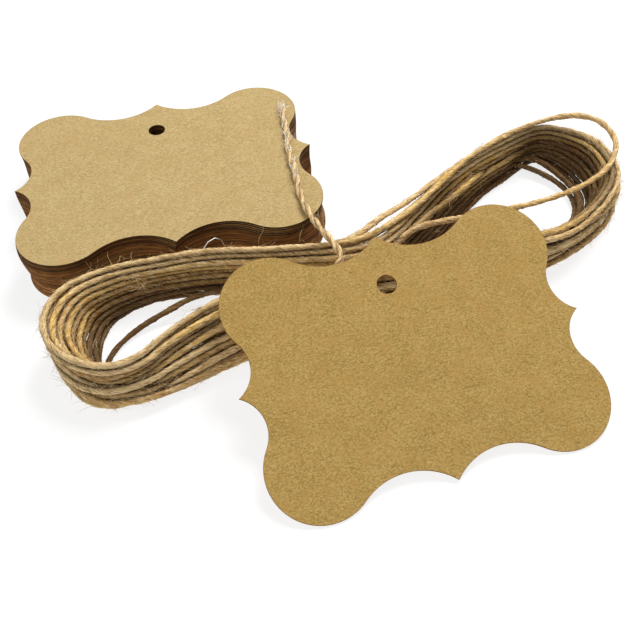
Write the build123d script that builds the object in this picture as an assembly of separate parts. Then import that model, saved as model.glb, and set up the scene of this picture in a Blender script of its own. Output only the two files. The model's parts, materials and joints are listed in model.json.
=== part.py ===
"""Set of card gift tags: a squared-up stack, a hank of jute twine, and one tag leaning on the hank."""
import math
import os

from build123d import *

# Tag card: four round lobes, four pointed tips with hollows between, one hole near the long edge
tag_width = 70.0
tag_height = 51.0
card_thickness = 0.45
lobe_radius = 10.3
lobe_side_inset = 0.6
lobe_rise = 1.1
hole_diameter = 4.0
hole_edge_distance = 10.7
hole_sideways = -0.8
long_tip_half_deg = 45.0
side_tip_half_deg = 29.0

# Stack: the cards lie squared up on their holes, turned a little about the hole in a slow wave down the stack
stack_count = 24
stack_air = 0.02
stack_turn_limit_deg = 0.9
stack_turn_step_deg = -16.0

# Twine hank: a standing wall of turns, wound in layers from the inside out, drawn in at the waist
cord_diameter = 1.3
hank_layers = 4
hank_levels = 7
layer_pitch = 2.02
level_pitch = 1.43
left_end_radius = 11.75
right_end_radius = 13.0
end_span_x = 105.0
end_span_y = 22.7
far_waist_x = 52.8
far_waist_y = 8.2
near_waist_x = 59.8
near_waist_y = -3.5
waist_height = 14.05
hank_left_x = -15.0
hank_stack_gap = 1.1

# Slopes of the hank's runs in plan, at the round ends and at the waist
far_left_slope_deg = -5.5
far_waist_slope_deg = 12.0
far_right_slope_deg = 30.0
near_left_slope_deg = 20.0
near_waist_slope_deg = 3.0
near_right_slope_deg = 27.0

# Leaning tag: its two lower lobes stand on the table and its back lies on the waist of the hank
lean_tilt_deg = 20.0
lean_turn_deg = 4.8
lean_x = 44.0
seat_gap = 0.3

# Route of the twine's inner end, from the waist up over the edge of the stack and along the top card
free_end_points = [
    (26.2, -44.6, 13.2),
    (31.0, -41.4, 14.2),
    (32.4, -35.6, 14.1),
    (31.0, -29.8, 13.2),
    (29.3, -23.6, 12.36),
    (28.9, -17.0, 12.22),
    (29.4, -10.2, 12.22),
    (29.2, -3.2, 12.22),
    (30.2, 3.4, 12.22),
    (30.4, 9.6, 12.22),
    (31.2, 15.4, 12.22),
]

# Route of the twine's outer end, a loose turn that stands out past the right end and crosses back to the waist
loose_turn_points = [
    (92.6, -2.6, 11.3),
    (99.6, -4.0, 11.2),
    (105.0, -9.0, 11.2),
    (106.8, -16.0, 11.3),
    (104.4, -22.8, 11.4),
    (98.8, -27.4, 11.4),
    (91.8, -30.2, 11.3),
    (84.2, -31.8, 11.1),
    (76.4, -32.8, 11.0),
    (68.4, -33.2, 11.0),
    (60.4, -33.2, 11.0),
    (52.8, -33.0, 11.0),
    (46.0, -33.4, 11.0),
]

# Worked out from the sizes above
cord_radius = cord_diameter / 2
stack_pitch = card_thickness + stack_air
lobe_x = tag_width / 2 - lobe_side_inset - lobe_radius
lobe_y = tag_height / 2 + lobe_rise - lobe_radius
tag_front = tag_height / 2 + lobe_rise
hole_x = hole_sideways
hole_y = tag_height / 2 - hole_edge_distance
wall_half = layer_pitch * (hank_layers - 1) / 2
wall_outside = wall_half + cord_radius
waist_pitch = (waist_height - cord_diameter) / (hank_levels - 1)
route_arc_share = 0.45
sample_share = 0.5
straight_limit = 1e-9


def hollow_centre(tip, lobe, outward_way):
    """Centre of the hollow that leaves a tip square to a direction and runs smoothly into a lobe."""
    gap = tip - lobe
    radius = (gap.length ** 2 - lobe_radius ** 2) / (2 * (lobe_radius - gap.dot(outward_way)))
    return tip + outward_way * radius


def arc_middle(centre, start, end):
    """Middle of the shorter arc about a centre from start to end."""
    radius = (start - centre).length
    return centre + ((start - centre) + (end - centre)).normalized() * radius


def quarter_outline():
    """Arcs of the outline from the long tip to the side tip, each as its start, middle and end."""
    long_tip = Vector(0, tag_height / 2)
    side_tip = Vector(tag_width / 2, 0)
    lobe = Vector(lobe_x, lobe_y)
    long_half = math.radians(long_tip_half_deg)
    side_half = math.radians(side_tip_half_deg)
    long_centre = hollow_centre(long_tip, lobe, Vector(math.cos(long_half), math.sin(long_half)))
    side_centre = hollow_centre(side_tip, lobe, Vector(math.sin(side_half), math.cos(side_half)))
    lobe_start = lobe + (long_centre - lobe).normalized() * lobe_radius
    lobe_end = lobe + (side_centre - lobe).normalized() * lobe_radius
    corner_way = lobe - (lobe_start + lobe_end) / 2
    corner = lobe + Vector(abs(corner_way.X), abs(corner_way.Y)).normalized() * lobe_radius
    return [
        (long_tip, arc_middle(long_centre, long_tip, lobe_start), lobe_start),
        (lobe_start, corner, lobe_end),
        (lobe_end, arc_middle(side_centre, lobe_end, side_tip), side_tip),
    ]


def make_tag():
    """One flat card, its underside on the XY plane and its outline centred on the origin."""
    edges = []
    for side_x, side_y in ((1, 1), (1, -1), (-1, -1), (-1, 1)):
        for points in quarter_outline():
            edges.append(ThreePointArc(*[Vector(p.X * side_x, p.Y * side_y) for p in points]))
    card = extrude(make_face(edges), amount=card_thickness)
    hole = Pos(hole_x, hole_y, card_thickness / 2) * Cylinder(hole_diameter / 2, 2 * card_thickness)
    return card - hole


def stack_turn(index):
    """Turn of one card of the stack about its hole, in degrees, with none on the top card."""
    return stack_turn_limit_deg * math.sin(math.radians((stack_count - 1 - index) * stack_turn_step_deg))


# Middles of the hank's two round ends and of its two runs at the waist
left_centre = Vector(hank_left_x, -(tag_front + hank_stack_gap + left_end_radius + wall_outside))
right_centre = left_centre + Vector(end_span_x, end_span_y)
far_waist = left_centre + Vector(far_waist_x, far_waist_y)
near_waist = left_centre + Vector(near_waist_x, near_waist_y)


def slope_way(slope_deg):
    """Level direction at a slope in plan."""
    return Vector(math.cos(math.radians(slope_deg)), math.sin(math.radians(slope_deg)))


# Direction of travel at the ends of the runs and at the waist, clockwise seen from above
far_left_way = slope_way(far_left_slope_deg)
far_waist_way = slope_way(far_waist_slope_deg)
far_right_way = slope_way(far_right_slope_deg)
near_right_way = -slope_way(near_right_slope_deg)
near_waist_way = -slope_way(near_waist_slope_deg)
near_left_way = -slope_way(near_left_slope_deg)


def outward(way):
    """Direction out of the hank beside a direction of travel."""
    return Vector(-way.Y, way.X)


def layer_offset(layer):
    """Distance of a layer outwards from the middle of the wall."""
    return layer * layer_pitch - wall_half


def level_height(level):
    """Height of a turn's middle line at the round ends and on the far run."""
    return cord_radius + level * level_pitch


def waist_level_height(level):
    """Height of a turn's middle line at the waist, where the near run is heaped up."""
    return cord_radius + level * waist_pitch


def raised(point, height):
    return Vector(point.X, point.Y, height)


def bent_arc(start, corner, end):
    """Arc from start to end that leaves and arrives along the two equal legs to a corner."""
    middle = (start + end) / 2
    if (corner - middle).length < straight_limit:
        return Line(start, end)
    cosine = (start - middle).length / (start - corner).length
    return ThreePointArc(start, middle + (corner - middle) * (cosine / (1 + cosine)), end)


def biarc(start, start_way, end, end_way):
    """Two arcs that join smoothly between two places with their directions."""
    gap = end - start
    sum_way = start_way + end_way
    spread = 1 - start_way.dot(end_way)
    reach = gap.dot(sum_way)
    leg = (math.sqrt(reach ** 2 + 2 * spread * gap.dot(gap)) - reach) / (2 * spread)
    first_corner = start + start_way * leg
    second_corner = end - end_way * leg
    joint = (first_corner + second_corner) / 2
    return [bent_arc(start, first_corner, joint), bent_arc(joint, second_corner, end)]


def round_end(centre, radius, start_way, end_way, height):
    """Outer arc of a round end at one height."""
    ways = (outward(start_way), (start_way - end_way).normalized(), outward(end_way))
    return ThreePointArc(*[raised(centre + way * radius, height) for way in ways])


def left_end(offset, level):
    radius = left_end_radius + offset
    return round_end(left_centre, radius, near_left_way, far_left_way, level_height(level))


def right_end(offset, level):
    radius = right_end_radius + offset
    return round_end(right_centre, radius, far_right_way, near_right_way, level_height(level))


def far_run(offset, level, next_level):
    """Far run of one layer, climbing or sinking evenly from one level to the next."""
    middle_level = (level + next_level) / 2
    left_place = left_centre + outward(far_left_way) * (left_end_radius + offset)
    right_place = right_centre + outward(far_right_way) * (right_end_radius + offset)
    start = raised(left_place, level_height(level))
    waist = raised(far_waist + outward(far_waist_way) * offset, level_height(middle_level))
    end = raised(right_place, level_height(next_level))
    left_half = biarc(start, far_left_way, waist, far_waist_way)
    return left_half + biarc(waist, far_waist_way, end, far_right_way)


def near_run(offset, next_offset, level):
    """Near run at one level, heaped up at the waist, from one layer to the same or the next one."""
    middle_offset = (offset + next_offset) / 2
    right_place = right_centre + outward(near_right_way) * (right_end_radius + offset)
    left_place = left_centre + outward(near_left_way) * (left_end_radius + next_offset)
    start = raised(right_place, level_height(level))
    waist = raised(near_waist + outward(near_waist_way) * middle_offset, waist_level_height(level))
    end = raised(left_place, level_height(level))
    right_half = biarc(start, near_right_way, waist, near_waist_way)
    return right_half + biarc(waist, near_waist_way, end, near_left_way)


def hank_edges():
    """Middle line of the whole hank, from the inner end near the waist to the outer end on the far run."""
    top = hank_levels - 1
    edges = [near_run(layer_offset(0), layer_offset(0), top)[-1]]
    for layer in range(hank_layers):
        step = 1 if layer % 2 else -1
        level = 0 if layer % 2 else top
        offset = layer_offset(layer)
        for turn in range(top):
            next_level = level + step
            edges.append(left_end(offset, level))
            edges += far_run(offset, level, next_level)
            edges.append(right_end(offset, next_level))
            layer_ends = turn == top - 1 and layer < hank_layers - 1
            next_offset = layer_offset(layer + 1) if layer_ends else offset
            edges += near_run(offset, next_offset, next_level)
            level = next_level
    edges.append(left_end(offset, top))
    edges += far_run(offset, top, hank_levels)
    return edges


def tube(edges):
    """Round cord along a chain of edges."""
    path = Wire(edges)
    start = Plane(origin=path @ 0, z_dir=path % 0)
    return sweep(start * Circle(cord_radius), path=path)


def least_gap(edges):
    """Least clear distance between stretches of the cord that aren't neighbours along it."""
    points = []
    for edge in edges:
        count = max(2, math.ceil(edge.length / (cord_diameter * sample_share)))
        points += [edge @ (i / count) for i in range(count)]
    cell = 2 * cord_diameter
    cells = {}
    for index, point in enumerate(points):
        key = tuple(math.floor(value / cell) for value in (point.X, point.Y, point.Z))
        cells.setdefault(key, []).append(index)
    apart = math.ceil(2 * math.pi * cord_diameter / (cord_diameter * sample_share))
    least = math.inf
    around = (-1, 0, 1)
    for (x, y, z), here in cells.items():
        keys = [(x + a, y + b, z + c) for a in around for b in around for c in around]
        near = [index for key in keys for index in cells.get(key, [])]
        for first in here:
            for second in near:
                if second - first > apart:
                    least = min(least, (points[first] - points[second]).length)
    return least - cord_diameter


def route_radii(points):
    """Largest arc radius that the runs on both sides of each corner of a route allow."""
    radii = []
    for before, corner, after in zip(points, points[1:], points[2:]):
        turn = math.radians((corner - before).get_angle(after - corner))
        shorter = min((corner - before).length, (after - corner).length)
        radii.append(route_arc_share * shorter / math.tan(turn / 2))
    return radii


def free_stretch(name, start, way, route):
    """Cord that leaves the hank straight and then follows its route in runs and arcs."""
    points = [start, start + way * (2 * cord_diameter)] + [Vector(*point) for point in route]
    radii = route_radii(points)
    path = FilletPolyline(*points, radius=radii)
    solid = tube(path.edges())
    print(name, "length", round(path.length, 1), "radii", [round(radius, 1) for radius in radii])
    print(name, "volume over section times length", solid.volume / (path.length * math.pi * cord_radius ** 2))
    return solid


def make_twine():
    """Hank and the two free stretches at its ends."""
    turns = hank_edges()
    inner_way = turns[0] % 0
    outer_way = turns[-1] % 1
    inner_end = turns[0] @ 0 - inner_way * cord_diameter
    outer_end = turns[-1] @ 1 + outer_way * cord_diameter
    chain = [Line(inner_end, turns[0] @ 0)] + turns + [Line(turns[-1] @ 1, outer_end)]
    hank = tube(chain)
    length = sum(edge.length for edge in chain)
    print("hank length", round(length, 1), "least gap", round(least_gap(chain), 3))
    print("hank volume over section times length", hank.volume / (length * math.pi * cord_radius ** 2))
    return {
        "twine_hank": hank,
        "twine_free_end": free_stretch("free end", inner_end, -inner_way, free_end_points),
        "twine_loose_turn": free_stretch("loose turn", outer_end, outer_way, loose_turn_points),
    }


def lean_place():
    """Place of the leaning card, set so that its back clears the heaped waist by the seat gap."""
    tilt = math.radians(lean_tilt_deg)
    turn = math.radians(lean_turn_deg)
    forward = Vector(math.sin(turn), -math.cos(turn))
    edge = near_waist + outward(near_waist_way) * wall_half
    height = waist_level_height(hank_levels - 1)
    reach = (height + (cord_radius + seat_gap) / math.cos(tilt)) / math.tan(tilt)
    sideways = Vector(math.cos(turn), math.sin(turn))
    foot = edge + forward * reach
    foot += sideways * ((lean_x - foot.X) / sideways.X)
    print("leaning card stands at", round(foot.X, 2), round(foot.Y, 2))
    stand = Pos(foot.X, foot.Y, 0) * Rot(0, 0, lean_turn_deg)
    return stand * Rot(lean_tilt_deg, 0, 0) * Pos(0, tag_front, 0)


def make_parts():
    """Every piece of the set by its name."""
    card = make_tag()
    parts = {}
    for index in range(stack_count):
        about_hole = Pos(hole_x, hole_y, index * stack_pitch) * Rot(0, 0, stack_turn(index))
        parts[f"stack_tag_{index + 1:02d}"] = about_hole * Pos(-hole_x, -hole_y, 0) * card
    parts["leaning_tag"] = lean_place() * card
    parts.update(make_twine())
    return parts


os.makedirs("parts", exist_ok=True)
for node, solid in make_parts().items():
    export_step(solid, f"parts/{node}.step")
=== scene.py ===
"""Gift tag set: kraft cards in a stack, a hank of jute twine, and one card that leans on the hank."""
import json
import math
import random

import bpy
import numpy as np
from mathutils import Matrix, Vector
from mathutils.kdtree import KDTree


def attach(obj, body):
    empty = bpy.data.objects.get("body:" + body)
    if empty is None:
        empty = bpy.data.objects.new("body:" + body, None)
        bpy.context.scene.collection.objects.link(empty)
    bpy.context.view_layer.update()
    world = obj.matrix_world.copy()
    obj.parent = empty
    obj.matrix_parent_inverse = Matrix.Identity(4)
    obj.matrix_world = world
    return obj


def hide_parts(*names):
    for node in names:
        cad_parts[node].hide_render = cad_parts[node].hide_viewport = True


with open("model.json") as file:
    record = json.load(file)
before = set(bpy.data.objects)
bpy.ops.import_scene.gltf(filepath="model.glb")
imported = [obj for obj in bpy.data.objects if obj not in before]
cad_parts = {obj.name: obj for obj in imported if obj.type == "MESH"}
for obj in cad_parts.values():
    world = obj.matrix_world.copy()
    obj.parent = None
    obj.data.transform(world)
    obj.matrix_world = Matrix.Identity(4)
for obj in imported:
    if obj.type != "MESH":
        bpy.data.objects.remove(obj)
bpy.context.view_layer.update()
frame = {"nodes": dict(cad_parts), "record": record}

# Viewpoint of the photograph, in metres and degrees
camera_place = (0.00751, -0.14927, 0.13075)
camera_turn_deg = (39.013, 1.390, -12.451)
camera_lens_mm = 43.75
camera_sensor_mm = 36.0
camera_near = 0.01

# Studio: a soft key light from behind on the right, a weak fill light from the front on the left, white table
studio_middle = (0.03, -0.03, 0.0)
studio_white = (1.0, 1.0, 1.0, 1.0)
studio_brightness = 0.36
key_place = (0.36, 0.38, 0.62)
key_size = 0.35
key_watts = 8.2
key_colour = (1.0, 0.98, 0.95)
fill_place = (-0.38, -0.36, 0.50)
fill_size = 0.6
fill_watts = 1.6
fill_colour = (1.0, 1.0, 1.0)
table_size = 3.0
table_drop = 0.00005
table_grey = (0.22, 0.22, 0.22, 1.0)
table_glow = 0.78
table_roughness = 0.9

# Twine: lightly twisted jute, uneven in thickness over long slubs and short lumps, with a rough surface
twine_diameter = 0.0013
twine_radius = twine_diameter / 2
twist_pitch = 0.0105
slub_share = 0.12
slub_length = 0.011
lump_share = 0.09
lump_length = 0.004
rough_share = 0.07

# Mesh of the twine: order of its splines and steps in each span, sides, and how far its two lobes stand out;
# each end gets painted shade where it lies in a gap to the hank, but not from the last points of the hank,
# which it grows out of
spline_order = 3
hank_spline_steps = 11
hank_sides = 10
hank_lobes = 0.05
end_spline_steps = 16
free_end_sides = 16
free_end_lobes = 0.30
loose_turn_sides = 12
loose_turn_lobes = 0.08
hank_ends_skip = 30

# Painted shade in the grooves of the twist, by how far its two lobes stand out
groove_share = 3
groove_limit = 0.55
groove_power = 3

# Painted shade in the gap between two strands, in shares of the twine's radius; near points of the strand
# itself are skipped
crevice_reach_share = 1.75
crevice_fade_share = 0.55
crevice_skip = 24

# The hank is a leaning wall of turns. Middle of its rim and the two sides of its foot, clockwise seen from
# above and starting left of the waist: rim x and y, inner foot x and y, outer foot x and y, and the height of
# the rim
hank_stations = [
    (0.0164, -0.0443, 0.0167, -0.0480, 0.0169, -0.0510, 0.0125),
    (0.0060, -0.0457, 0.0070, -0.0498, 0.0078, -0.0530, 0.0115),
    (-0.0042, -0.0503, -0.0031, -0.0528, -0.0019, -0.0560, 0.0106),
    (-0.0105, -0.0543, -0.0106, -0.0542, -0.0096, -0.0578, 0.0102),
    (-0.0175, -0.0550, -0.0174, -0.0532, -0.0189, -0.0576, 0.0102),
    (-0.0242, -0.0507, -0.0190, -0.0489, -0.0248, -0.0530, 0.0102),
    (-0.0275, -0.0442, -0.0194, -0.0443, -0.0272, -0.0452, 0.0102),
    (-0.0269, -0.0379, -0.0187, -0.0401, -0.0260, -0.0377, 0.0102),
    (-0.0230, -0.0326, -0.0168, -0.0361, -0.0209, -0.0320, 0.0102),
    (-0.0147, -0.0298, -0.0118, -0.0329, -0.0130, -0.0294, 0.0102),
    (-0.0050, -0.0293, -0.0050, -0.0312, -0.0050, -0.0288, 0.0102),
    (0.0059, -0.0293, 0.0060, -0.0318, 0.0062, -0.0290, 0.0102),
    (0.0178, -0.0316, 0.0178, -0.0344, 0.0183, -0.0313, 0.0102),
    (0.0298, -0.0337, 0.0298, -0.0372, 0.0302, -0.0340, 0.0104),
    (0.0383, -0.0344, 0.0391, -0.0394, 0.0385, -0.0348, 0.0104),
    (0.0460, -0.0312, 0.0488, -0.0359, 0.0462, -0.0313, 0.0104),
    (0.0541, -0.0248, 0.0577, -0.0297, 0.0543, -0.0251, 0.0104),
    (0.0625, -0.0177, 0.0660, -0.0226, 0.0635, -0.0190, 0.0103),
    (0.0724, -0.0117, 0.0744, -0.0156, 0.0729, -0.0128, 0.0103),
    (0.0824, -0.0074, 0.0836, -0.0105, 0.0825, -0.0079, 0.0103),
    (0.0913, -0.0048, 0.0914, -0.0067, 0.0915, -0.0041, 0.0103),
    (0.0978, -0.0075, 0.0956, -0.0103, 0.0974, -0.0086, 0.0103),
    (0.1029, -0.0135, 0.0973, -0.0161, 0.1018, -0.0144, 0.0103),
    (0.1037, -0.0213, 0.0979, -0.0207, 0.1031, -0.0211, 0.0101),
    (0.1012, -0.0279, 0.0970, -0.0256, 0.1014, -0.0282, 0.0097),
    (0.0948, -0.0339, 0.0930, -0.0316, 0.0954, -0.0346, 0.0092),
    (0.0860, -0.0391, 0.0846, -0.0363, 0.0860, -0.0394, 0.0090),
    (0.0765, -0.0413, 0.0758, -0.0390, 0.0768, -0.0427, 0.0102),
    (0.0652, -0.0427, 0.0651, -0.0422, 0.0659, -0.0462, 0.0120),
    (0.0534, -0.0449, 0.0533, -0.0448, 0.0539, -0.0488, 0.0132),
    (0.0420, -0.0461, 0.0418, -0.0461, 0.0420, -0.0501, 0.0140),
    (0.0293, -0.0453, 0.0292, -0.0472, 0.0292, -0.0509, 0.0136),
]
hank_rim_width = 0.0027
hank_end_station = 19

# Places of the turns in the wall's section, from the inside out: across it, then levels between foot and rim
hank_rows = [
    (0.0, [1.0, 0.875, 0.75, 0.625, 0.50, 0.375, 0.25, 0.125, 0.0]),
    (0.34, [0.04, 0.24, 0.44, 0.64, 0.84]),
    (0.67, [0.72, 0.40, 0.10]),
    (1.0, [0.0, 0.11, 0.24, 0.39, 0.57, 0.78, 1.0]),
]
hank_last_place = (0.6, 1.13)

# Stations at which neighbours in the section change places, how many times they do, how many of the nearest
# may be chosen, and the proportions of the section
hank_anchors = [1, 6, 10, 14, 18, 22, 26]
hank_swaps = 14
hank_swap_reach = 3
section_sizes = (1.0, 2.7)

# Slow waves in each turn: how many there are in one turn, and how far they go sideways and up
hank_waves = (2, 3, 5, 8)
wave_beside = 0.00024
wave_up = 0.00018

# How the turns settle: distance at which they touch, rounds, steps in each span, and near steps of the same
# turn that are skipped; then, in each round, push, hold of what is free, sinking, evening out, and the share
# of each move that is kept
pressed_distance = 0.00122
settle_rounds = 60
settle_steps = 8
settle_skip = 6
settle_push = 1.3
settle_hold = 0.15
settle_sink = 0.000006
settle_even = 0.12
settle_keep = 0.996
least_distance = 1e-6
least_share = 1e-9

# What the twine keeps clear of: the table, the stack and the leaning card
lying_height = 1.16 * twine_radius
stack_right = 0.036
stack_front = -0.0280
stack_fibre_front = -0.0276
stack_top = 0.0118
stack_top_edge = 0.0105
card_gap = 0.0004

# Turns that stray from their place in the wall: turn, station, reach in stations, then inwards and upwards
hank_strays = [
    (23, 14.8, 1.2, -0.0030, 0.0006),
    (13, 14.7, 1.6, 0.0, 0.0020),
    (22, 14.7, 1.6, 0.0, 0.0018),
]

# Single turns that cut across the openings: turn, first station, and the places at that and the next stations
hank_shortcuts = [
    (16, 4, [
        (-0.0166, -0.0540, 0.0014),
        (-0.0190, -0.0493, 0.0009),
        (-0.0176, -0.0446, 0.0009),
        (-0.0134, -0.0405, 0.0012),
        (-0.0086, -0.0380, 0.0018),
        (-0.0038, -0.0364, 0.0026),
        (0.0008, -0.0344, 0.0027),
        (0.0072, -0.0331, 0.0025),
        (0.0178, -0.0343, 0.0024),
    ]),
    (16, 19, [
        (0.0838, -0.0092, 0.0024),
        (0.0884, -0.0109, 0.0022),
        (0.0922, -0.0150, 0.0018),
        (0.0946, -0.0203, 0.0014),
        (0.0946, -0.0256, 0.0012),
        (0.0924, -0.0304, 0.0012),
        (0.0884, -0.0342, 0.0014),
    ]),
    (12, 19, [
        (0.0844, -0.0088, 0.0032),
        (0.0900, -0.0092, 0.0030),
        (0.0932, -0.0139, 0.0027),
        (0.0951, -0.0194, 0.0025),
        (0.0957, -0.0250, 0.0024),
        (0.0936, -0.0308, 0.0026),
        (0.0892, -0.0350, 0.0030),
    ]),
    (15, 15, [
        (0.0470, -0.0346, 0.0084),
        (0.0558, -0.0282, 0.0082),
        (0.0642, -0.0226, 0.0076),
        (0.0722, -0.0164, 0.0064),
    ]),
    (24, 14, [
        (0.0384, -0.0338, 0.0110),
        (0.0460, -0.0312, 0.0112),
        (0.0542, -0.0264, 0.0112),
        (0.0624, -0.0198, 0.0111),
        (0.0720, -0.0128, 0.0111),
        (0.0815, -0.0084, 0.0111),
    ]),
]

# Seeds of the random draws
turns_seed = 7
hank_seed = 11
free_end_seed = 23
loose_turn_seed = 31
cards_seed = 5

# Route of the inner end over the stack, and of the outer end round the right end of the hank
free_end_points = [
    (0.0226, -0.0442, 0.0122),
    (0.0288, -0.0440, 0.0130),
    (0.0328, -0.0424, 0.0136),
    (0.0332, -0.0390, 0.0138),
    (0.0320, -0.0346, 0.0135),
    (0.0306, -0.0296, 0.0129),
    (0.0293, -0.0236, 0.01232),
    (0.0289, -0.0170, 0.01196),
    (0.0294, -0.0102, 0.01194),
    (0.0292, -0.0032, 0.01194),
    (0.0302, 0.0034, 0.01194),
    (0.0304, 0.0096, 0.01194),
    (0.0312, 0.0154, 0.01194),
]
loose_turn_points = [
    (0.0869, -0.0066, 0.0112),
    (0.0920, -0.0052, 0.0112),
    (0.0975, -0.0045, 0.0111),
    (0.1023, -0.0049, 0.0110),
    (0.1060, -0.0076, 0.0110),
    (0.1072, -0.0120, 0.0110),
    (0.1067, -0.0167, 0.0110),
    (0.1042, -0.0213, 0.0110),
    (0.1006, -0.0251, 0.0110),
    (0.0956, -0.0281, 0.0109),
    (0.0896, -0.0303, 0.0108),
    (0.0830, -0.0317, 0.0108),
    (0.0760, -0.0326, 0.0109),
    (0.0690, -0.0328, 0.0110),
    (0.0620, -0.0328, 0.0109),
    (0.0562, -0.0326, 0.0107),
    (0.0520, -0.0324, 0.0099),
    (0.0484, -0.0336, 0.0088),
    (0.0460, -0.0354, 0.0080),
]

# Fibres that stand up from the far run, in front of the stack; the first is a thick white one
white_fibre_radius = 0.00017
standing_fibre_radius = 0.00009
standing_fibres = [
    [
        (0.0044, -0.0286, 0.0086),
        (0.0053, -0.0286, 0.0105),
        (0.0067, -0.0286, 0.0126),
        (0.0083, -0.0286, 0.0135),
        (0.0095, -0.0286, 0.0126),
        (0.0101, -0.0286, 0.0103),
    ],
    [
        (-0.0140, -0.0287, 0.0096),
        (-0.0142, -0.0287, 0.0117),
        (-0.0144, -0.0287, 0.0134),
        (-0.0141, -0.0287, 0.0148),
    ],
    [
        (-0.0138, -0.0287, 0.0096),
        (-0.0134, -0.0287, 0.0106),
        (-0.0124, -0.0287, 0.0118),
        (-0.0117, -0.0287, 0.0132),
    ],
    [
        (-0.0100, -0.0287, 0.0098),
        (-0.0097, -0.0287, 0.0112),
        (-0.0098, -0.0287, 0.0124),
        (-0.0093, -0.0287, 0.0136),
    ],
    [
        (0.0172, -0.0296, 0.0100),
        (0.0176, -0.0292, 0.0118),
        (0.0186, -0.0290, 0.0134),
        (0.0189, -0.0289, 0.0150),
    ],
    [
        (0.0262, -0.0306, 0.0100),
        (0.0264, -0.0302, 0.0116),
        (0.0270, -0.0300, 0.0130),
    ],
    [
        (-0.0128, -0.0317, 0.0080),
        (-0.0110, -0.0306, 0.0084),
        (-0.0090, -0.0317, 0.0084),
        (-0.0068, -0.0343, 0.0080),
        (-0.0098, -0.0344, 0.0078),
    ],
]

# Shape of every loose fibre: steps along it, sides, taper, waver of its curl, and where its root lies
fibre_steps = 4
fibre_sides = 3
fibre_taper = 0.6
fibre_waver = 0.15
fibre_root_share = 0.9
fibre_curl = (0.1, 0.5)

# Hairs that stand off the hank and nap that lies along it: number, length, lift and radius
hair_count = 4600
hair_length = (0.0008, 0.0038)
hair_lift = (0.06, 0.6)
hair_radius = 0.000038
nap_count = 5600
nap_length = (0.0014, 0.0050)
nap_lift = (0.02, 0.14)
nap_radius = 0.00005
fray_count = 10
fray_spread = 0.0004
fray_length = (0.002, 0.004)
fray_curl = (0.8, 1.4)

# Hairs, white fibres and frayed tip of the inner end, and hairs of the loose turn
end_hair_count = 140
end_hair_length = (0.002, 0.005)
end_hair_lift = (0.1, 0.5)
end_hair_radius = 0.000035
end_white_count = 60
end_white_y = (-0.020, -0.012)
tip_count = 60
tip_spread = (0.36, 0.36, 0.25)
tip_root = 0.0030
tip_width = 0.0006
tip_length = (0.0012, 0.0026)
tip_curl = (0.2, 0.9)
tip_radius = 0.00005
loose_hair_count = 45
loose_hair_length = (0.001, 0.003)
loose_hair_lift = (0.1, 0.6)
loose_hair_radius = 0.00003

# Colours of the jute, where the pale colour also serves as painted light on the hank's rim and the darkest
# one is painted shade, and of its loose fibres between two shades
jute_plain = (0.48, 0.262, 0.08, 1.0)
jute_pale = (0.82, 0.62, 0.325, 1.0)
jute_gold = (0.74, 0.475, 0.12, 1.0)
jute_dark = (0.23, 0.098, 0.026, 1.0)
jute_thread = (0.86, 0.70, 0.43, 1.0)
jute_painted_shade = (0.034, 0.0105, 0.003, 1.0)
fluff_shades = ((0.40, 0.23, 0.07, 1.0), (0.82, 0.65, 0.38, 1.0))
white_shades = ((0.92, 0.88, 0.80, 1.0), (1.0, 0.99, 0.96, 1.0))

# Where the hank's shades begin and end, painted shade and painted rim light among them: across the wall,
# along x, in height, and before the hank's last point
inner_across = (0.8, 0.3)
right_end_x = (0.078, 0.092)
foot_z = (0.0085, 0.0010)
rim_z = (0.0070, 0.0092)
card_shade_x = 0.057
card_shade_reach = (0.014, 0.005)
card_shade_z = (0.0098, 0.0080)
last_strand = (0.065, 0.05)
fluffy_x = (0.040, 0.055)
buried_reach = 0.0034
buried_strands = 9

# Gold of the hank: its level, its drifts with their lengths, more inside, less at the inner foot and on the
# rim, and the clear streaks at the golden places
gold_level = 0.22
gold_drift = 0.6
gold_drift_length = 0.045
gold_fleck = 0.35
gold_fleck_length = 0.012
gold_inside = 0.35
gold_foot_loss = 0.5
gold_rim_loss = 0.75
gold_last = 0.5
gold_streak_length = 0.009
gold_streak_clear = 0.8

# Paleness of the hank: its level, its drift, less inside as painted shade, and at least so much on the rim as
# painted light
paleness_level = 0.72
paleness_drift = 0.5
paleness_drift_length = 0.06
inside_painted_shade = 0.7
rim_painted_light = 0.8

# Strength of the painted shade on the hank: for twine that is buried, low inside, between the rows, on the
# inner wall at the right, and the painted shadow under the card; fewer fibres stand where the painted shade
# is deep, and more towards the right
buried_painted_shade = 0.3
foot_painted_shade = 0.8
between_painted_shade = 0.15
right_end_painted_shade = 0.6
card_painted_shadow = 0.5
painted_shade_limit = 0.85
painted_shade_fluff_loss = 1.3
least_fluff = 0.05
right_fluff = 0.5

# Shades of the two ends: gold, bleach, and their drifts with their lengths
free_end_gold = 0.06
free_end_gold_drift = 0.06
free_end_gold_length = 0.01
free_end_bleach = 0.9
free_end_bleach_drift = 0.3
free_end_bleach_length = 0.006
loose_gold = 0.3
loose_gold_drift = 0.4
loose_bleach = 0.45
loose_bleach_drift = 0.3
loose_drift_length = 0.02

# Places where a strand shows gold, and where one is frayed
gold_places = [
    (0.0025, -0.0472, 0.0105),
    (0.0040, -0.0335, 0.0068),
    (-0.0267, -0.0398, 0.0086),
    (-0.0225, -0.0390, 0.0055),
    (-0.0246, -0.0430, 0.0075),
    (-0.0165, -0.0331, 0.0070),
    (0.0633, -0.0194, 0.0110),
    (0.1011, -0.0161, 0.0102),
    (0.0839, -0.0393, 0.0095),
]
frayed_places = [
    (-0.0128, -0.0311, 0.0083),
    (-0.0112, -0.0312, 0.0083),
    (-0.0094, -0.0319, 0.0083),
    (-0.0079, -0.0329, 0.0081),
    (-0.0104, -0.0334, 0.0075),
]

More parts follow.
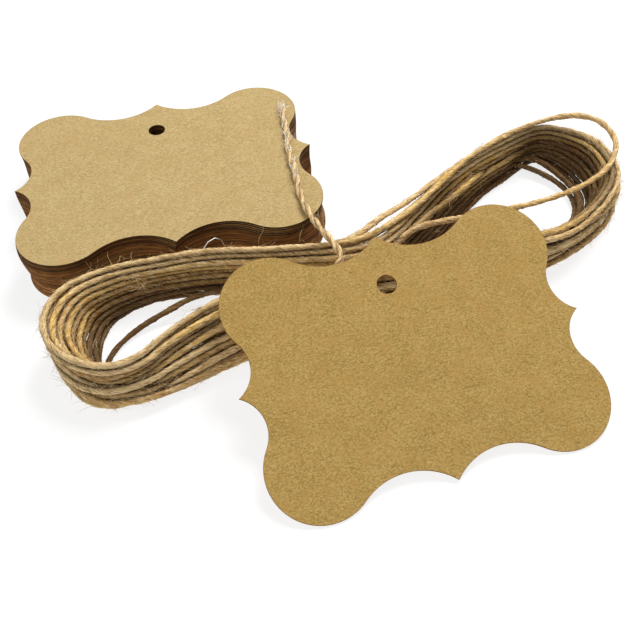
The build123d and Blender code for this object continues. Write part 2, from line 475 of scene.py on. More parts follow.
# Cards: rounding of the cut edges, and angles and limits for making their meshes whole
card_edge_round = 0.00006
card_round_steps = 2
card_join_distance = 0.000001
card_flat_deg = 1.0
card_sharp_deg = 60.0
card_smooth_deg = 35.0
level_limit = 0.999
stack_count = 24

# Finish: every surface is dull
dull_specular = 0.15
face_roughness = 0.82
edge_roughness = 0.9
jute_roughness = 0.88
fluff_roughness = 0.6

# Kraft: shades of the two faces, the leaning card's being the stack's kraft darkened as painted shade, fibres
# with their direction, scale and visible range, and the cut edges, which have five tones from the foot of the
# stack to its top, darker upwards as painted shade
stack_shades = {
    "Pale": (0.475, 0.357, 0.170, 1.0),
    "Deep": (0.335, 0.238, 0.094, 1.0),
    "Warm": (0.42, 0.285, 0.122, 1.0),
    "Fleck": (0.22, 0.135, 0.05, 1.0),
}
leaning_painted_shade_colours = {
    "Pale": (0.464, 0.312, 0.106, 1.0),
    "Deep": (0.284, 0.181, 0.045, 1.0),
    "Warm": (0.388, 0.230, 0.063, 1.0),
    "Fleck": (0.170, 0.095, 0.026, 1.0),
}
kraft_fibres = [
    (12.0, 700.0, 0.76, 0.82),
    (-48.0, 840.0, 0.81, 0.87),
    (81.0, 780.0, 0.79, 0.85),
]
# Cut edges: dark brown, partly the colour of the cut and partly painted shade; their five tones darken from
# the foot of the stack to its top as painted shade
edge_dark = (0.080, 0.027, 0.006)
edge_pale = (0.33, 0.143, 0.036)
edge_tones = (1.7, 1.1, 0.7, 0.45, 0.32)
edge_painted_shade_rise = 3.4
edge_tone_spread = 1.3


def place_camera():
    data = bpy.data.cameras.new("photo_camera")
    data.lens = camera_lens_mm
    data.sensor_width = camera_sensor_mm
    data.clip_start = camera_near
    camera = bpy.data.objects.new("photo_camera", data)
    camera.location = camera_place
    camera.rotation_euler = [math.radians(angle) for angle in camera_turn_deg]
    bpy.context.scene.collection.objects.link(camera)
    bpy.context.scene.camera = camera


def place_light(name, place, target, size, watts, colour):
    data = bpy.data.lights.new(name, "AREA")
    data.size = size
    data.energy = watts
    data.color = colour
    lamp = bpy.data.objects.new(name, data)
    lamp.location = place
    lamp.rotation_euler = (Vector(target) - Vector(place)).to_track_quat("-Z", "Y").to_euler()
    bpy.context.scene.collection.objects.link(lamp)


def light_studio():
    world = bpy.data.worlds.new("studio")
    bpy.context.scene.world = world
    world.use_nodes = True
    background = world.node_tree.nodes["Background"]
    background.inputs["Color"].default_value = studio_white
    background.inputs["Strength"].default_value = studio_brightness
    place_light("key_light", key_place, studio_middle, key_size, key_watts, key_colour)
    place_light("fill_light", fill_place, studio_middle, fill_size, fill_watts, fill_colour)
    bpy.context.scene.view_settings.view_transform = "Standard"


def lay_floor():
    bpy.ops.object.select_all(action="DESELECT")
    bpy.ops.mesh.primitive_plane_add(size=table_size, location=(0.0, 0.0, -table_drop))
    floor = bpy.context.object
    floor.name = "floor"
    material = bpy.data.materials.new("white_table")
    material.use_nodes = True
    shader = material.node_tree.nodes["Principled BSDF"]
    shader.inputs["Base Color"].default_value = table_grey
    shader.inputs["Roughness"].default_value = table_roughness
    shader.inputs["Emission Color"].default_value = studio_white
    shader.inputs["Emission Strength"].default_value = table_glow
    floor.data.materials.append(material)


# Shader nodes


def feed(tree, socket, source):
    """Links an output to a socket, or sets the socket's own value."""
    if isinstance(source, bpy.types.NodeSocket):
        tree.links.new(source, socket)
    else:
        socket.default_value = source


def add_node(tree, kind, inputs, **settings):
    node = tree.nodes.new(kind)
    for name, value in settings.items():
        setattr(node, name, value)
    for name, source in inputs.items():
        feed(tree, node.inputs[name], source)
    return node


def maths(tree, operation, first, second):
    return add_node(tree, "ShaderNodeMath", {0: first, 1: second}, operation=operation).outputs[0]


def mix(tree, factor, first, second):
    inputs = {0: factor, 6: first, 7: second}
    return add_node(tree, "ShaderNodeMix", inputs, data_type="RGBA").outputs[2]


def span(tree, value, low, high, new_low=0.0, new_high=1.0):
    """Value moved from one range to another and held inside it."""
    inputs = {"Value": value, "From Min": low, "From Max": high, "To Min": new_low, "To Max": new_high}
    return add_node(tree, "ShaderNodeMapRange", inputs).outputs["Result"]


def noise(tree, vector, scale, detail=2.0, roughness=0.5):
    inputs = {"Vector": vector, "Scale": scale, "Detail": detail, "Roughness": roughness}
    return add_node(tree, "ShaderNodeTexNoise", inputs).outputs["Fac"]


def stretched(tree, vector, scale, turn_deg=0.0):
    turn = (0.0, 0.0, math.radians(turn_deg))
    inputs = {"Vector": vector, "Scale": scale, "Rotation": turn}
    return add_node(tree, "ShaderNodeMapping", inputs).outputs["Vector"]


def kraft_grain_group():
    """Mottled, fibrous kraft: a colour between two shades with flecks, and a height for its tooth."""
    tree = bpy.data.node_groups.new("kraft_grain", "ShaderNodeTree")
    for label in ("Pale", "Deep", "Warm", "Fleck"):
        tree.interface.new_socket(label, in_out="INPUT", socket_type="NodeSocketColor")
    tree.interface.new_socket("Color", in_out="OUTPUT", socket_type="NodeSocketColor")
    tree.interface.new_socket("Height", in_out="OUTPUT", socket_type="NodeSocketFloat")
    shades = tree.nodes.new("NodeGroupInput").outputs
    result = tree.nodes.new("NodeGroupOutput").inputs
    place = tree.nodes.new("ShaderNodeTexCoord").outputs["Object"]
    cloud = noise(tree, place, scale=170.0, detail=2.0)
    grain = noise(tree, stretched(tree, place, (0.8, 1.2, 1.0)), scale=2800.0, detail=1.0, roughness=0.6)
    tint = noise(tree, stretched(tree, place, (1.0, 1.0, 1.0), turn_deg=40.0), scale=330.0, detail=1.0)
    grainy = span(tree, grain, low=0.34, high=0.66)
    cloudy = span(tree, cloud, low=0.3, high=0.7, new_low=-0.13, new_high=0.13)
    colour = mix(tree, maths(tree, "ADD", grainy, cloudy), shades["Deep"], shades["Pale"])
    colour = mix(tree, span(tree, tint, low=0.46, high=0.68, new_high=0.42), colour, shades["Warm"])
    height = grain
    for turn_deg, scale, low, high in kraft_fibres:
        fibre = noise(tree, stretched(tree, place, (1.0, 5.0, 1.0), turn_deg), scale, detail=0.0)
        mask = span(tree, fibre, low, high, new_high=0.55)
        colour = mix(tree, mask, colour, shades["Fleck"])
        height = maths(tree, "ADD", height, mask)
    spot = add_node(tree, "ShaderNodeTexVoronoi", {"Vector": place, "Scale": 150.0})
    chosen = add_node(tree, "ShaderNodeSeparateColor", {"Color": spot.outputs["Color"]}).outputs["Red"]
    near = span(tree, spot.outputs["Distance"], low=0.025, high=0.055, new_low=1.0, new_high=0.0)
    speck = maths(tree, "MULTIPLY", near, span(tree, chosen, low=0.78, high=0.80, new_high=0.5))
    colour = mix(tree, speck, colour, shades["Fleck"])
    feed(tree, result["Color"], colour)
    feed(tree, result["Height"], height)
    return tree


def new_material(name, roughness):
    material = bpy.data.materials.new(name)
    material.use_nodes = True
    shader = material.node_tree.nodes["Principled BSDF"]
    shader.inputs["Roughness"].default_value = roughness
    shader.inputs["Specular IOR Level"].default_value = dull_specular
    return material, material.node_tree, shader


def bump(tree, shader, height, strength, distance):
    inputs = {"Height": height, "Strength": strength, "Distance": distance}
    feed(tree, shader.inputs["Normal"], add_node(tree, "ShaderNodeBump", inputs).outputs["Normal"])


def kraft_face(name, grain, shades):
    """Face of the card: kraft grain in its own shades."""
    material, tree, shader = new_material(name, face_roughness)
    group = tree.nodes.new("ShaderNodeGroup")
    group.node_tree = grain
    for label, colour in shades.items():
        group.inputs[label].default_value = colour
    feed(tree, shader.inputs["Base Color"], group.outputs["Color"])
    bump(tree, shader, group.outputs["Height"], strength=0.35, distance=0.00004)
    return material


def kraft_edge(name, dark, pale):
    """Cut edge of the card: dark brown, partly the colour of the cut and partly painted shade, streaked along
    the cut.
    """
    material, tree, shader = new_material(name, edge_roughness)
    place = tree.nodes.new("ShaderNodeTexCoord").outputs["Object"]
    streak = noise(tree, stretched(tree, place, (1.0, 1.0, 14.0)), scale=420.0, detail=3.0, roughness=0.6)
    patch = noise(tree, place, scale=90.0, detail=2.0)
    colour = mix(tree, span(tree, streak, low=0.32, high=0.68), dark, pale)
    colour = mix(tree, span(tree, patch, low=0.45, high=0.75, new_high=0.4), colour, dark)
    feed(tree, shader.inputs["Base Color"], colour)
    bump(tree, shader, streak, strength=0.5, distance=0.00008)
    return material


def jute_material():
    """Jute: streaks along the twist; tone holds gold, paleness with painted light on the rim, and painted
    shade where a place lies deep in the hank, in a gap between strands or in a groove of the twist.
    """
    material, tree, shader = new_material("jute_twine", jute_roughness)
    fibre = add_node(tree, "ShaderNodeAttribute", {}, attribute_name="fibre").outputs["Vector"]
    tone = add_node(tree, "ShaderNodeAttribute", {}, attribute_name="tone").outputs["Vector"]
    gold, paleness, painted_shade = add_node(tree, "ShaderNodeSeparateXYZ", {"Vector": tone}).outputs
    streak = noise(tree, stretched(tree, fibre, (1.0, 1.0, 150.0)), scale=2.2, detail=3.0, roughness=0.65)
    thread = noise(tree, stretched(tree, fibre, (1.0, 1.0, 400.0)), scale=2.0, detail=2.0, roughness=0.7)
    colour = mix(tree, paleness, jute_plain, jute_pale)
    colour = mix(tree, gold, colour, jute_gold)
    colour = mix(tree, span(tree, streak, low=0.37, high=0.53, new_low=0.85, new_high=0.0), colour, jute_dark)
    colour = mix(tree, span(tree, thread, low=0.50, high=0.66, new_high=0.8), colour, jute_thread)
    # Painted shade: the darkest brown, mixed in where the tone's third part is high
    colour = mix(tree, painted_shade, colour, jute_painted_shade)
    feed(tree, shader.inputs["Base Color"], colour)
    bump(tree, shader, maths(tree, "ADD", streak, thread), strength=0.6, distance=0.00012)
    return material


def fluff_material(name, straw, pale):
    """Loose fibres between two shades."""
    material, tree, shader = new_material(name, fluff_roughness)
    place = tree.nodes.new("ShaderNodeTexCoord").outputs["Object"]
    patch = noise(tree, place, scale=700.0, detail=2.0)
    colour = mix(tree, span(tree, patch, low=0.35, high=0.65), straw, pale)
    feed(tree, shader.inputs["Base Color"], colour)
    return material


# Twine


def smooth_step(value, low, high):
    share = np.clip((value - low) / (high - low), 0.0, 1.0)
    return share * share * (3.0 - 2.0 * share)


def mixed_places(chance):
    """Place in the section of each turn at each anchor: outside the inner row, neighbours change places."""
    places = [(across, level) for across, levels in hank_rows for level in levels]
    inner_row = len(hank_rows[0][1])
    slots = np.tile(np.array([*places, hank_last_place])[:, None], (1, len(hank_anchors), 1))
    for anchor in range(len(hank_anchors)):
        here = slots[inner_row : len(places), anchor]
        for _ in range(hank_swaps):
            first = chance.randrange(len(here))
            apart = np.abs(here - here[first]) @ section_sizes
            second = np.argsort(apart)[chance.randint(1, hank_swap_reach)]
            here[[first, second]] = here[[second, first]]
    return slots


def eased(values):
    """Values along the hank with their corners rounded off."""
    padded = np.pad(values, 2, mode="edge")
    return (padded[:-4] + 2 * padded[1:-3] + 3 * padded[2:-2] + 2 * padded[3:-1] + padded[4:]) / 9


def hank_turns():
    """Control points of the hank's turns, and how far across the wall each of them lies."""
    chance = random.Random(turns_seed)
    stations = np.array(hank_stations)
    count = len(stations)
    rim, inner_foot, outer_foot, height = np.split(stations, (2, 4, 6), axis=1)
    middle = (2 * rim + inner_foot + outer_foot) / 4
    way = np.roll(middle, -1, 0) - np.roll(middle, 1, 0)
    way /= np.linalg.norm(way, axis=1)[:, None]
    outward = np.column_stack([-way[:, 1], way[:, 0]])
    slots = mixed_places(chance)
    known = (np.arange(len(slots))[:, None] + np.array(hank_anchors) / count).ravel()
    place = np.arange(len(slots) * count) / count
    across = eased(np.interp(place, known, slots[..., 0].ravel()))
    levels = eased(np.interp(place, known, slots[..., 1].ravel()))
    station = np.arange(count)
    turns = []
    for turn in range(len(slots)):
        here = slice(turn * count, (turn + 1) * count)
        share = across[here, None]
        level = levels[here, None]
        foot = inner_foot + (outer_foot - inner_foot) * share
        top = rim + outward * (share - 0.5) * (hank_rim_width - twine_diameter)
        beside = np.zeros(count)
        up = twine_radius + (level * (height - twine_diameter))[:, 0]
        for waves in hank_waves:
            phase = waves * station / count
            beside = beside + wave_beside * chance.random() * np.sin(2 * np.pi * (phase + chance.random()))
            up = up + wave_up * chance.random() * np.sin(2 * np.pi * (phase + chance.random()))
        for stray_turn, middle_station, reach, inwards, upwards in hank_strays:
            if stray_turn == turn:
                near = np.exp(-(((station - middle_station) / reach) ** 2))
                beside = beside - inwards * near
                up = up + upwards * near
        points = np.column_stack([foot + (top - foot) * level + outward * beside[:, None], up])
        for cut_turn, first, places in hank_shortcuts:
            if cut_turn == turn:
                points[first : first + len(places)] = places
                # A turn that cuts across is toned like the inner side of the wall
                across[turn * count + first : turn * count + first + len(places)] = 0.0
        turns.append(points)
    line = np.concatenate(turns)[: (len(slots) - 1) * count + hank_end_station + 1]
    # The spline cuts its corners, so the control points are moved out and it passes close to the places
    line[1:-1] -= (line[:-2] - 2 * line[1:-1] + line[2:]) / 8
    return line, across[: len(line)]


def keep_clear(points):
    """Keeps the turns above the table, in front of the stack and under the leaning card."""
    points[:, 2] = np.maximum(points[:, 2], lying_height)
    beside_stack = points[:, 0] < stack_right
    points[beside_stack, 1] = np.minimum(points[beside_stack, 1], stack_front)
    bore = next(mount for mount in frame["record"]["mounts"] if mount["name"] == "leaning_tag_bore")
    above = (points - np.array(bore["pos_m"])) @ np.array(bore["axis"]) + twine_radius + card_gap
    points[:, 2] -= np.maximum(above, 0.0)


def search_tree(points):
    tree = KDTree(len(points))
    for index, point in enumerate(points):
        tree.insert(point, index)
    tree.balance()
    return tree


def settle(rest):
    """Turns pushed apart where they lie in each other, and let down a little onto what carries them."""
    along = (np.arange(settle_steps) + 0.5) / settle_steps
    # Shares of three neighbouring control points in each piece of the spline
    weights = np.stack([0.5 * (1 - along) ** 2, 0.5 + along - along**2, 0.5 * along**2], axis=1)
    middle = np.arange(1, len(rest) - 1)
    knots = np.repeat(np.stack([middle - 1, middle, middle + 1], axis=1), settle_steps, axis=0)
    weights = np.tile(weights, (len(middle), 1))
    points = rest.copy()
    for _ in range(settle_rounds):
        line = (points[knots] * weights[..., None]).sum(1)
        tree = search_tree(line)
        pairs = [
            (first, second)
            for first, point in enumerate(line)
            for _, second, _ in tree.find_range(point, pressed_distance)
            if second - first > settle_skip
        ]
        push = np.zeros_like(line)
        count = np.zeros(len(line))
        if pairs:
            first, second = np.array(pairs).T
            apart = line[first] - line[second]
            distance = np.maximum(np.linalg.norm(apart, axis=1), least_distance)
            shove = apart * (0.5 * (pressed_distance - distance) / distance)[:, None]
            np.add.at(push, first, shove)
            np.add.at(push, second, -shove)
            np.add.at(count, first, 1)
            np.add.at(count, second, 1)
        push /= np.maximum(count, 1)[:, None]
        moves = np.zeros_like(points)
        shares = np.zeros(len(points))
        touched = (count > 0)[:, None] * weights
        np.add.at(moves, knots, push[:, None] * weights[..., None])
        np.add.at(shares, knots, touched + settle_hold * weights)
        points += settle_push * moves / np.maximum(shares, least_share)[:, None]
        points[:, 2] -= settle_sink
        moved = points - rest
        even = moved.copy()
        even[1:-1] = (moved[:-2] + moved[2:]) / 2
        points = rest + (moved + (even - moved) * settle_even) * settle_keep
        keep_clear(points)
    return points


def spline_points(name, points, resolution):
    """Points along the smooth NURBS line that has the given points as its control points."""
    curve = bpy.data.curves.new(name, "CURVE")
    curve.dimensions = "3D"
    spline = curve.splines.new("NURBS")
    spline.points.add(len(points) - 1)
    for knot, point in zip(spline.points, points):
        knot.co = (*point, 1.0)
    spline.order_u = spline_order
    spline.use_endpoint_u = True
    spline.resolution_u = resolution
    carrier = bpy.data.objects.new(name, curve)
    mesh = bpy.data.meshes.new_from_object(carrier)
    line = np.array([vertex.co for vertex in mesh.vertices])
    bpy.data.meshes.remove(mesh)
    bpy.data.objects.remove(carrier)
    bpy.data.curves.remove(curve)
    return line


def onward(before, last):
    """Place two diameters on from the last point of a line."""
    way = last - before
    return last + way * (2 * twine_diameter / np.linalg.norm(way))


def run_along(line):
    return np.concatenate([[0.0], np.cumsum(np.linalg.norm(np.diff(line, axis=0), axis=1))])


def waver(chance, run, step):
    """Smooth random values from -1 to 1 along a run, changing over about one step."""
    count = int(run[-1] / step) + 3
    values = np.array([chance.uniform(-1.0, 1.0) for _ in range(count)])
    place = run / step
    index = place.astype(int)
    share = smooth_step(place - index, 0.0, 1.0)
    return values[index] * (1.0 - share) + values[index + 1] * share


def line_frames(line):
    """Along, sideways and upwards directions at each point of a line, carried along without twisting."""
    along = np.gradient(line, axis=0)
    along /= np.linalg.norm(along, axis=1)[:, None]
    side = np.zeros_like(line)
    side[0] = np.cross(along[0], (0.0, 0.0, 1.0))
    side[0] /= np.linalg.norm(side[0])
    for index in range(1, len(line)):
        side[index] = side[index - 1] - along[index] * (side[index - 1] @ along[index])
        side[index] /= np.linalg.norm(side[index])
    return along, side, np.cross(along, side)


def crevices(vertices, line, own, others):
    """How far each vertex of a cord lies in the gap to another strand, from 0 in the open to 1; it sets the
    painted shade in that gap.
    """
    tree = search_tree(others)
    sides = len(vertices) // len(line)
    reach = crevice_reach_share * twine_radius
    fade = crevice_fade_share * twine_radius
    result = np.zeros(len(vertices))
    for index, vertex in enumerate(vertices):
        place = index // sides
        near = [
            distance for _, other, distance in tree.find_range(vertex, reach)
            if not own or abs(other - place) > crevice_skip
        ]
        if near:
            result[index] = min(1.0, (reach - min(near)) / fade)
    return result


def add_piece(name, mesh):
    piece = bpy.data.objects.new(name, mesh)
    bpy.context.scene.collection.objects.link(piece)
    return piece


def twine_piece(name, line, sides, lobes, tone, chance, material, hank_line=None):
    """Twisted, uneven cord along a line; each vertex keeps its place round the twist for the fibres."""
    _, side, up = line_frames(line)
    run = run_along(line)
    around = np.arange(sides) * 2 * math.pi / sides
    slub = slub_share * waver(chance, run, slub_length)
    lump = lump_share * waver(chance, run, lump_length)
    thick = twine_radius * (1.0 + slub + lump)
    turned = 2 * math.pi * run / twist_pitch
    angle = around[None, :] + turned[:, None]
    ring = np.cos(angle)[..., None] * side[:, None] + np.sin(angle)[..., None] * up[:, None]
    rough = np.array([chance.gauss(0.0, rough_share) for _ in range(len(line) * sides)])
    rough = rough.reshape(len(line), sides)
    reach = thick[:, None] * (1.0 + lobes * np.cos(2 * around)[None, :] + rough)
    vertices = (line[:, None] + reach[..., None] * ring).reshape(-1, 3)
    vertices[:, 2] = np.maximum(vertices[:, 2], 0.0)
    fibre = np.empty((len(line), sides, 3))
    fibre[..., 0] = np.cos(around)
    fibre[..., 1] = np.sin(around)
    fibre[..., 2] = run[:, None]
    start = np.arange(len(line) - 1)[:, None] * sides
    here = np.arange(sides)[None, :]
    after = (here + 1) % sides
    faces = np.stack([start + here, start + after, start + sides + after, start + sides + here], axis=-1)
    faces = faces.reshape(-1, 4).tolist()
    faces.append(list(range(sides - 1, -1, -1)))
    faces.append(list(range(len(vertices) - sides, len(vertices))))
    tone = np.repeat(tone, sides, axis=0)
    # Painted shade in the gaps to other strands goes into the tone's third part
    gap_shade = crevices(vertices, line, hank_line is None, line if hank_line is None else hank_line)
    # Painted shade in the grooves of the twist, stronger for cords whose lobes stand out further
    groove_shade = (0.5 - 0.5 * np.cos(2 * around)) ** groove_power
    groove_shade = min(groove_share * lobes, groove_limit) * np.tile(groove_shade, len(line))
    tone[:, 2] = np.maximum(tone[:, 2], np.maximum(gap_shade, groove_shade))
    mesh = bpy.data.meshes.new(name)
    mesh.from_pydata(vertices.tolist(), [], faces)
    for label, values in (("fibre", fibre), ("tone", tone)):
        mesh.attributes.new(label, "FLOAT_VECTOR", "POINT")
        mesh.attributes[label].data.foreach_set("vector", values.ravel())
    mesh.shade_smooth()
    mesh.materials.append(material)
    return add_piece(name, mesh)


def buried(line):
    """How much twine lies above each point of the hank, from 0 on the open rim to 1 deep inside."""
    tree = search_tree(line)
    step = run_along(line)[-1] / len(line)
    apart = int(2 * buried_reach / step)
    full = buried_strands * 2 * buried_reach / step
    result = np.zeros(len(line))
    for index, point in enumerate(line):
        above = [
            place for place, other, _ in tree.find_range(point, buried_reach)
            if abs(other - index) > apart and place.z > point[2] + twine_radius
        ]
        result[index] = min(1.0, len(above) / full)
    return result


def fibre_points(chance, start, way, length, curl):
    """A short loose fibre that leaves a place in a direction and bends as it goes."""
    bend = Vector([chance.gauss(0.0, 1.0) for _ in range(3)])
    bend = (bend - way * bend.dot(way)).normalized() * curl
    points = [start]
    for _ in range(fibre_steps):
        points.append(points[-1] + way * (length / fibre_steps))
        way = (way + bend).normalized()
        bend = bend + Vector([chance.gauss(0.0, fibre_waver * curl) for _ in range(3)])
    return points


def fluff_piece(name, fibres, radius, material):
    """Thin tapered fibres, each three-sided along its points."""
    vertices = []
    faces = []
    for points in fibres:
        first = len(vertices)
        for index, point in enumerate(points):
            way = (points[min(index + 1, len(points) - 1)] - points[max(index - 1, 0)]).normalized()
            side = way.orthogonal().normalized()
            other = way.cross(side)
            thick = radius * (1.0 - fibre_taper * index / (len(points) - 1))
            for corner in range(fibre_sides):
                angle = 2 * math.pi * corner / fibre_sides
                place = point + (side * math.cos(angle) + other * math.sin(angle)) * thick
                place.z = max(place.z, 0.0)
                vertices.append(place)
        for ring in range(len(points) - 1):
            start = first + fibre_sides * ring
            for corner in range(fibre_sides):
                here = start + corner
                after = start + (corner + 1) % fibre_sides
                faces.append((here, after, after + fibre_sides, here + fibre_sides))
        root = range(first, first + fibre_sides)
        faces.append(tuple(reversed(root)))
        faces.append(tuple(range(len(vertices) - fibre_sides, len(vertices))))
    mesh = bpy.data.meshes.new(name)
    mesh.from_pydata(vertices, [], faces)
    mesh.shade_smooth()
    mesh.materials.append(material)
    return add_piece(name, mesh)


def clear_of_stack(point):
    """Holds a fibre in front of the stack's front edge and above its top card."""
    inside = point.x < stack_right and point.y > stack_fibre_front and point.z < stack_top
    if inside and point.z > stack_top_edge:
        point.z = stack_top
    elif inside:
        point.y = stack_fibre_front
    return point


def loose_fibres(chance, line, count, weight, length_range, lift):
    """Fibres that stand off a cord at random places, more of them where the weight is high."""
    along, side, up = line_frames(line)
    total = np.cumsum(weight) / weight.sum()
    fibres = []
    for _ in range(count):
        index = min(int(np.searchsorted(total, chance.random())), len(line) - 1)
        angle = chance.uniform(0.0, 2 * math.pi)
        out = Vector(side[index] * math.cos(angle) + up[index] * math.sin(angle))
        out.z = abs(out.z)
        sense = chance.choice((-1.0, 1.0))
        start = Vector(line[index]) + out * (fibre_root_share * twine_radius)
        way = (Vector(along[index]) * sense + out * chance.uniform(*lift)).normalized()
        points = fibre_points(chance, start, way, chance.uniform(*length_range), chance.uniform(*fibre_curl))
        fibres.append([clear_of_stack(point) for point in points])
    return fibres


def declare_twine(piece, node, fluff):
    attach(piece, "twine")
    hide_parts(node)
    for tuft in fluff:
        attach(tuft, "twine")


def hank_tone(line, across, chance):
    """Gold, paleness and painted shade along the hank: painted shade inside and low down, painted light on
    the rim, gold in places.
    """
    run = run_along(line)
    x = line[:, 0]
    z = line[:, 2]
    inner = smooth_step(across, *inner_across)
    right = smooth_step(x, *right_end_x)
    between = 1.0 - np.abs(2 * across - 1.0)
    low = smooth_step(z, *foot_z)
    high = smooth_step(z, *rim_z)
    gold = gold_level + gold_drift * waver(chance, run, gold_drift_length)
    gold = gold + gold_fleck * waver(chance, run, gold_fleck_length)
    gold = np.clip(gold + gold_inside * inner, 0.0, 1.0)
    gold = gold * (1.0 - gold_foot_loss * inner * low) * (1.0 - gold_rim_loss * high)
    # Paleness: less on the inside as painted shade, and at least so much on the rim as painted light
    paleness = paleness_level - inside_painted_shade * inner
    paleness = paleness + paleness_drift * waver(chance, run, paleness_drift_length)
    paleness = np.clip(np.maximum(paleness, rim_painted_light * high), 0.0, 1.0)
    begins, full = last_strand
    last = smooth_step(run, run[-1] - begins, run[-1] - full)
    gold = np.maximum(gold, gold_last * last)
    # Painted shadow of the leaning card on the inner wall at the waist
    under_card = smooth_step(np.abs(x - card_shade_x), *card_shade_reach) * smooth_step(z, *card_shade_z)
    # Painted shade where twine is buried, low inside, between the rows, on the inner wall at the right end
    # and under the card; none on the last strand
    painted_shade = buried_painted_shade * buried(line) + foot_painted_shade * inner * low + between_painted_shade * between
    painted_shade = painted_shade + inner * (right_end_painted_shade * right + card_painted_shadow * under_card)
    painted_shade = np.clip(painted_shade, 0.0, painted_shade_limit) * (1.0 - last)
    for place in gold_places:
        nearest = np.argmin(np.linalg.norm(line - np.array(place), axis=1))
        streak = np.exp(-(((run - run[nearest]) / gold_streak_length) ** 2))
        gold = np.maximum(gold, streak)
        # Golden streaks are cleared of painted shade
        painted_shade = painted_shade * (1.0 - gold_streak_clear * streak)
    return np.column_stack([gold, paleness, painted_shade])


def make_hank(turns, across, jute, fluff, white):
    chance = random.Random(hank_seed)
    line = spline_points("hank_line", turns, hank_spline_steps)
    across = np.interp(np.linspace(0.0, 1.0, len(line)), np.linspace(0.0, 1.0, len(across)), across)
    tone = hank_tone(line, across, chance)
    piece = twine_piece("jute_hank", line, hank_sides, hank_lobes, tone, chance, jute)
    weight = np.clip(1.0 - painted_shade_fluff_loss * tone[:, 2], least_fluff, 1.0)
    weight = weight * (1.0 + right_fluff * smooth_step(line[:, 0], *fluffy_x))
    hairs = loose_fibres(chance, line, hair_count, weight, hair_length, hair_lift)
    for place in frayed_places:
        for _ in range(fray_count):
            start = Vector(place) + Vector([chance.gauss(0.0, fray_spread) for _ in range(3)])
            way = Vector([chance.gauss(0.0, 1.0) for _ in range(3)]).normalized()
            length = chance.uniform(*fray_length)
            curl = chance.uniform(*fray_curl)
            hairs.append(fibre_points(chance, start, way, length, curl))
    lying = loose_fibres(chance, line, nap_count, weight, nap_length, nap_lift)
    standing = [[Vector(point) for point in points] for points in standing_fibres]
    tufts = [
        fluff_piece("jute_hank_fluff", hairs, hair_radius, fluff),
        fluff_piece("jute_hank_nap", lying, nap_radius, fluff),
        fluff_piece("jute_white_fibre", standing[:1], white_fibre_radius, white),
        fluff_piece("jute_standing_fibres", standing[1:], standing_fibre_radius, fluff),
    ]
    declare_twine(piece, "twine_hank", tufts)
    return line


def make_free_end(turns, hank_line, jute, fluff, white):
    chance = random.Random(free_end_seed)
    knots = [turns[0], onward(turns[1], turns[0]), *free_end_points]
    line = spline_points("free_end_line", knots, end_spline_steps)
    run = run_along(line)
    paleness = free_end_bleach + free_end_bleach_drift * waver(chance, run, free_end_bleach_length)
    gold = free_end_gold + free_end_gold_drift * waver(chance, run, free_end_gold_length)
    tone = np.column_stack([gold, np.clip(paleness, 0.0, 1.0), np.zeros(len(run))])
    beside = hank_line[hank_ends_skip:-hank_ends_skip]
    piece = twine_piece("jute_free_end", line, free_end_sides, free_end_lobes, tone, chance, jute, beside)
    hairs = loose_fibres(chance, line, end_hair_count, np.ones(len(line)), end_hair_length, end_hair_lift)
    weight = smooth_step(line[:, 1], *end_white_y)
    tufts = loose_fibres(chance, line, end_white_count, weight, end_hair_length, end_hair_lift)
    tip = Vector(line[-1])
    ahead = Vector(line[-1] - line[-2]).normalized()
    for _ in range(tip_count):
        spread = Vector([chance.gauss(0.0, size) for size in tip_spread])
        spread.z = abs(spread.z)
        way = (ahead + spread).normalized()
        start = tip - ahead * chance.uniform(0.0, tip_root) + spread * tip_width
        points = fibre_points(chance, start, way, chance.uniform(*tip_length), chance.uniform(*tip_curl))
        tufts.append([clear_of_stack(point) for point in points])
    hair = fluff_piece("jute_free_end_fluff", hairs, end_hair_radius, fluff)
    tuft = fluff_piece("jute_free_end_tuft", tufts, tip_radius, white)
    declare_twine(piece, "twine_free_end", [hair, tuft])


def make_loose_turn(turns, hank_line, jute, fluff):
    chance = random.Random(loose_turn_seed)
    knots = [turns[-1], onward(turns[-2], turns[-1]), *loose_turn_points]
    line = spline_points("loose_turn_line", knots, end_spline_steps)
    run = run_along(line)
    gold = loose_gold + loose_gold_drift * waver(chance, run, loose_drift_length)
    paleness = loose_bleach + loose_bleach_drift * waver(chance, run, loose_drift_length)
    tone = np.column_stack([np.clip(gold, 0.0, 1.0), paleness, np.zeros(len(run))])
    beside = hank_line[hank_ends_skip:-hank_ends_skip]
    piece = twine_piece(
        "jute_loose_turn", line, loose_turn_sides, loose_turn_lobes, tone, chance, jute, beside
    )
    weight = np.ones(len(line))
    hairs = loose_fibres(chance, line, loose_hair_count, weight, loose_hair_length, loose_hair_lift)
    hair = fluff_piece("jute_loose_turn_fluff", hairs, loose_hair_radius, fluff)
    declare_twine(piece, "twine_loose_turn", [hair])


def make_twine():
    jute = jute_material()
    fluff = fluff_material("jute_fluff", *fluff_shades)
    white = fluff_material("white_fibre", *white_shades)
    turns, across = hank_turns()
    turns = settle(turns)
    hank_line = make_hank(turns, across, jute, fluff, white)
    make_free_end(turns, hank_line, jute, fluff, white)
    make_loose_turn(turns, hank_line, jute, fluff)


# Cards


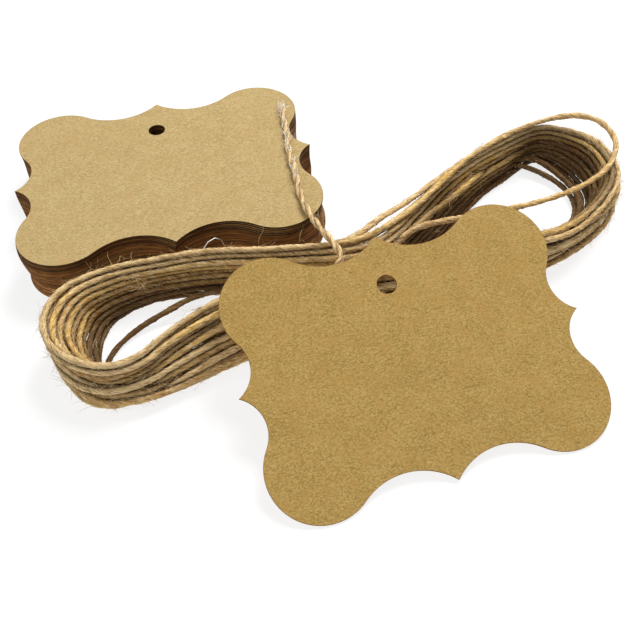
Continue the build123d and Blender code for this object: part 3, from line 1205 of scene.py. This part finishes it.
def make_card(node, name, face, edge):
    """One card: its CAD shape made whole, with its cut edges rounded over."""
    mesh = frame["nodes"][node].data.copy()
    mesh.name = name
    mesh.materials.clear()
    piece = add_piece(name, mesh)
    bpy.ops.object.select_all(action="DESELECT")
    piece.select_set(True)
    bpy.context.view_layer.objects.active = piece
    bpy.ops.object.mode_set(mode="EDIT")
    bpy.ops.mesh.select_mode(type="EDGE")
    bpy.ops.mesh.select_all(action="SELECT")
    bpy.ops.mesh.remove_doubles(threshold=card_join_distance)
    bpy.ops.mesh.dissolve_limited(angle_limit=math.radians(card_flat_deg))
    bpy.ops.mesh.select_all(action="DESELECT")
    bpy.ops.mesh.edges_select_sharp(sharpness=math.radians(card_sharp_deg))
    bpy.ops.mesh.bevel(offset=card_edge_round, segments=card_round_steps, affect="EDGES")
    bpy.ops.object.mode_set(mode="OBJECT")
    bpy.ops.object.shade_smooth_by_angle(angle=math.radians(card_smooth_deg))
    mesh.materials.append(face)
    mesh.materials.append(edge)
    flat = max(mesh.polygons, key=lambda polygon: polygon.area).normal.copy()
    for polygon in mesh.polygons:
        level = abs(polygon.normal.dot(flat)) > level_limit
        polygon.material_index = 0 if level else 1
        polygon.use_smooth = not level
    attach(piece, node)
    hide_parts(node)


def make_cards():
    grain = kraft_grain_group()
    chance = random.Random(cards_seed)
    edges = []
    for number, tone in enumerate(edge_tones):
        dark = (*(tone * share for share in edge_dark), 1.0)
        pale = (*(tone * share for share in edge_pale), 1.0)
        edges.append(kraft_edge(f"kraft_cut_edge_{number + 1}", dark, pale))
    stack_face = kraft_face("kraft_stack", grain, stack_shades)
    # The leaning card's face: the stack's kraft, darker and yellower as painted shade
    leaning_shaded_face = kraft_face("kraft_leaning_painted_shade", grain, leaning_painted_shade_colours)
    # Higher cards get darker edges as painted shade, with a random spread from card to card
    for number in range(1, stack_count):
        shade = edge_painted_shade_rise * number / stack_count + chance.uniform(-edge_tone_spread, edge_tone_spread)
        edge = edges[min(max(round(shade), 0), len(edges) - 1)]
        make_card(f"stack_tag_{number:02d}", f"kraft_tag_{number:02d}", stack_face, edge)
    # The top card's edges get the darkest tone, as painted shadow
    make_card(f"stack_tag_{stack_count}", f"kraft_tag_{stack_count}", stack_face, edges[-1])
    make_card("leaning_tag", "kraft_tag_leaning", leaning_shaded_face, edges[1])


place_camera()
light_studio()
lay_floor()
make_twine()
make_cards()
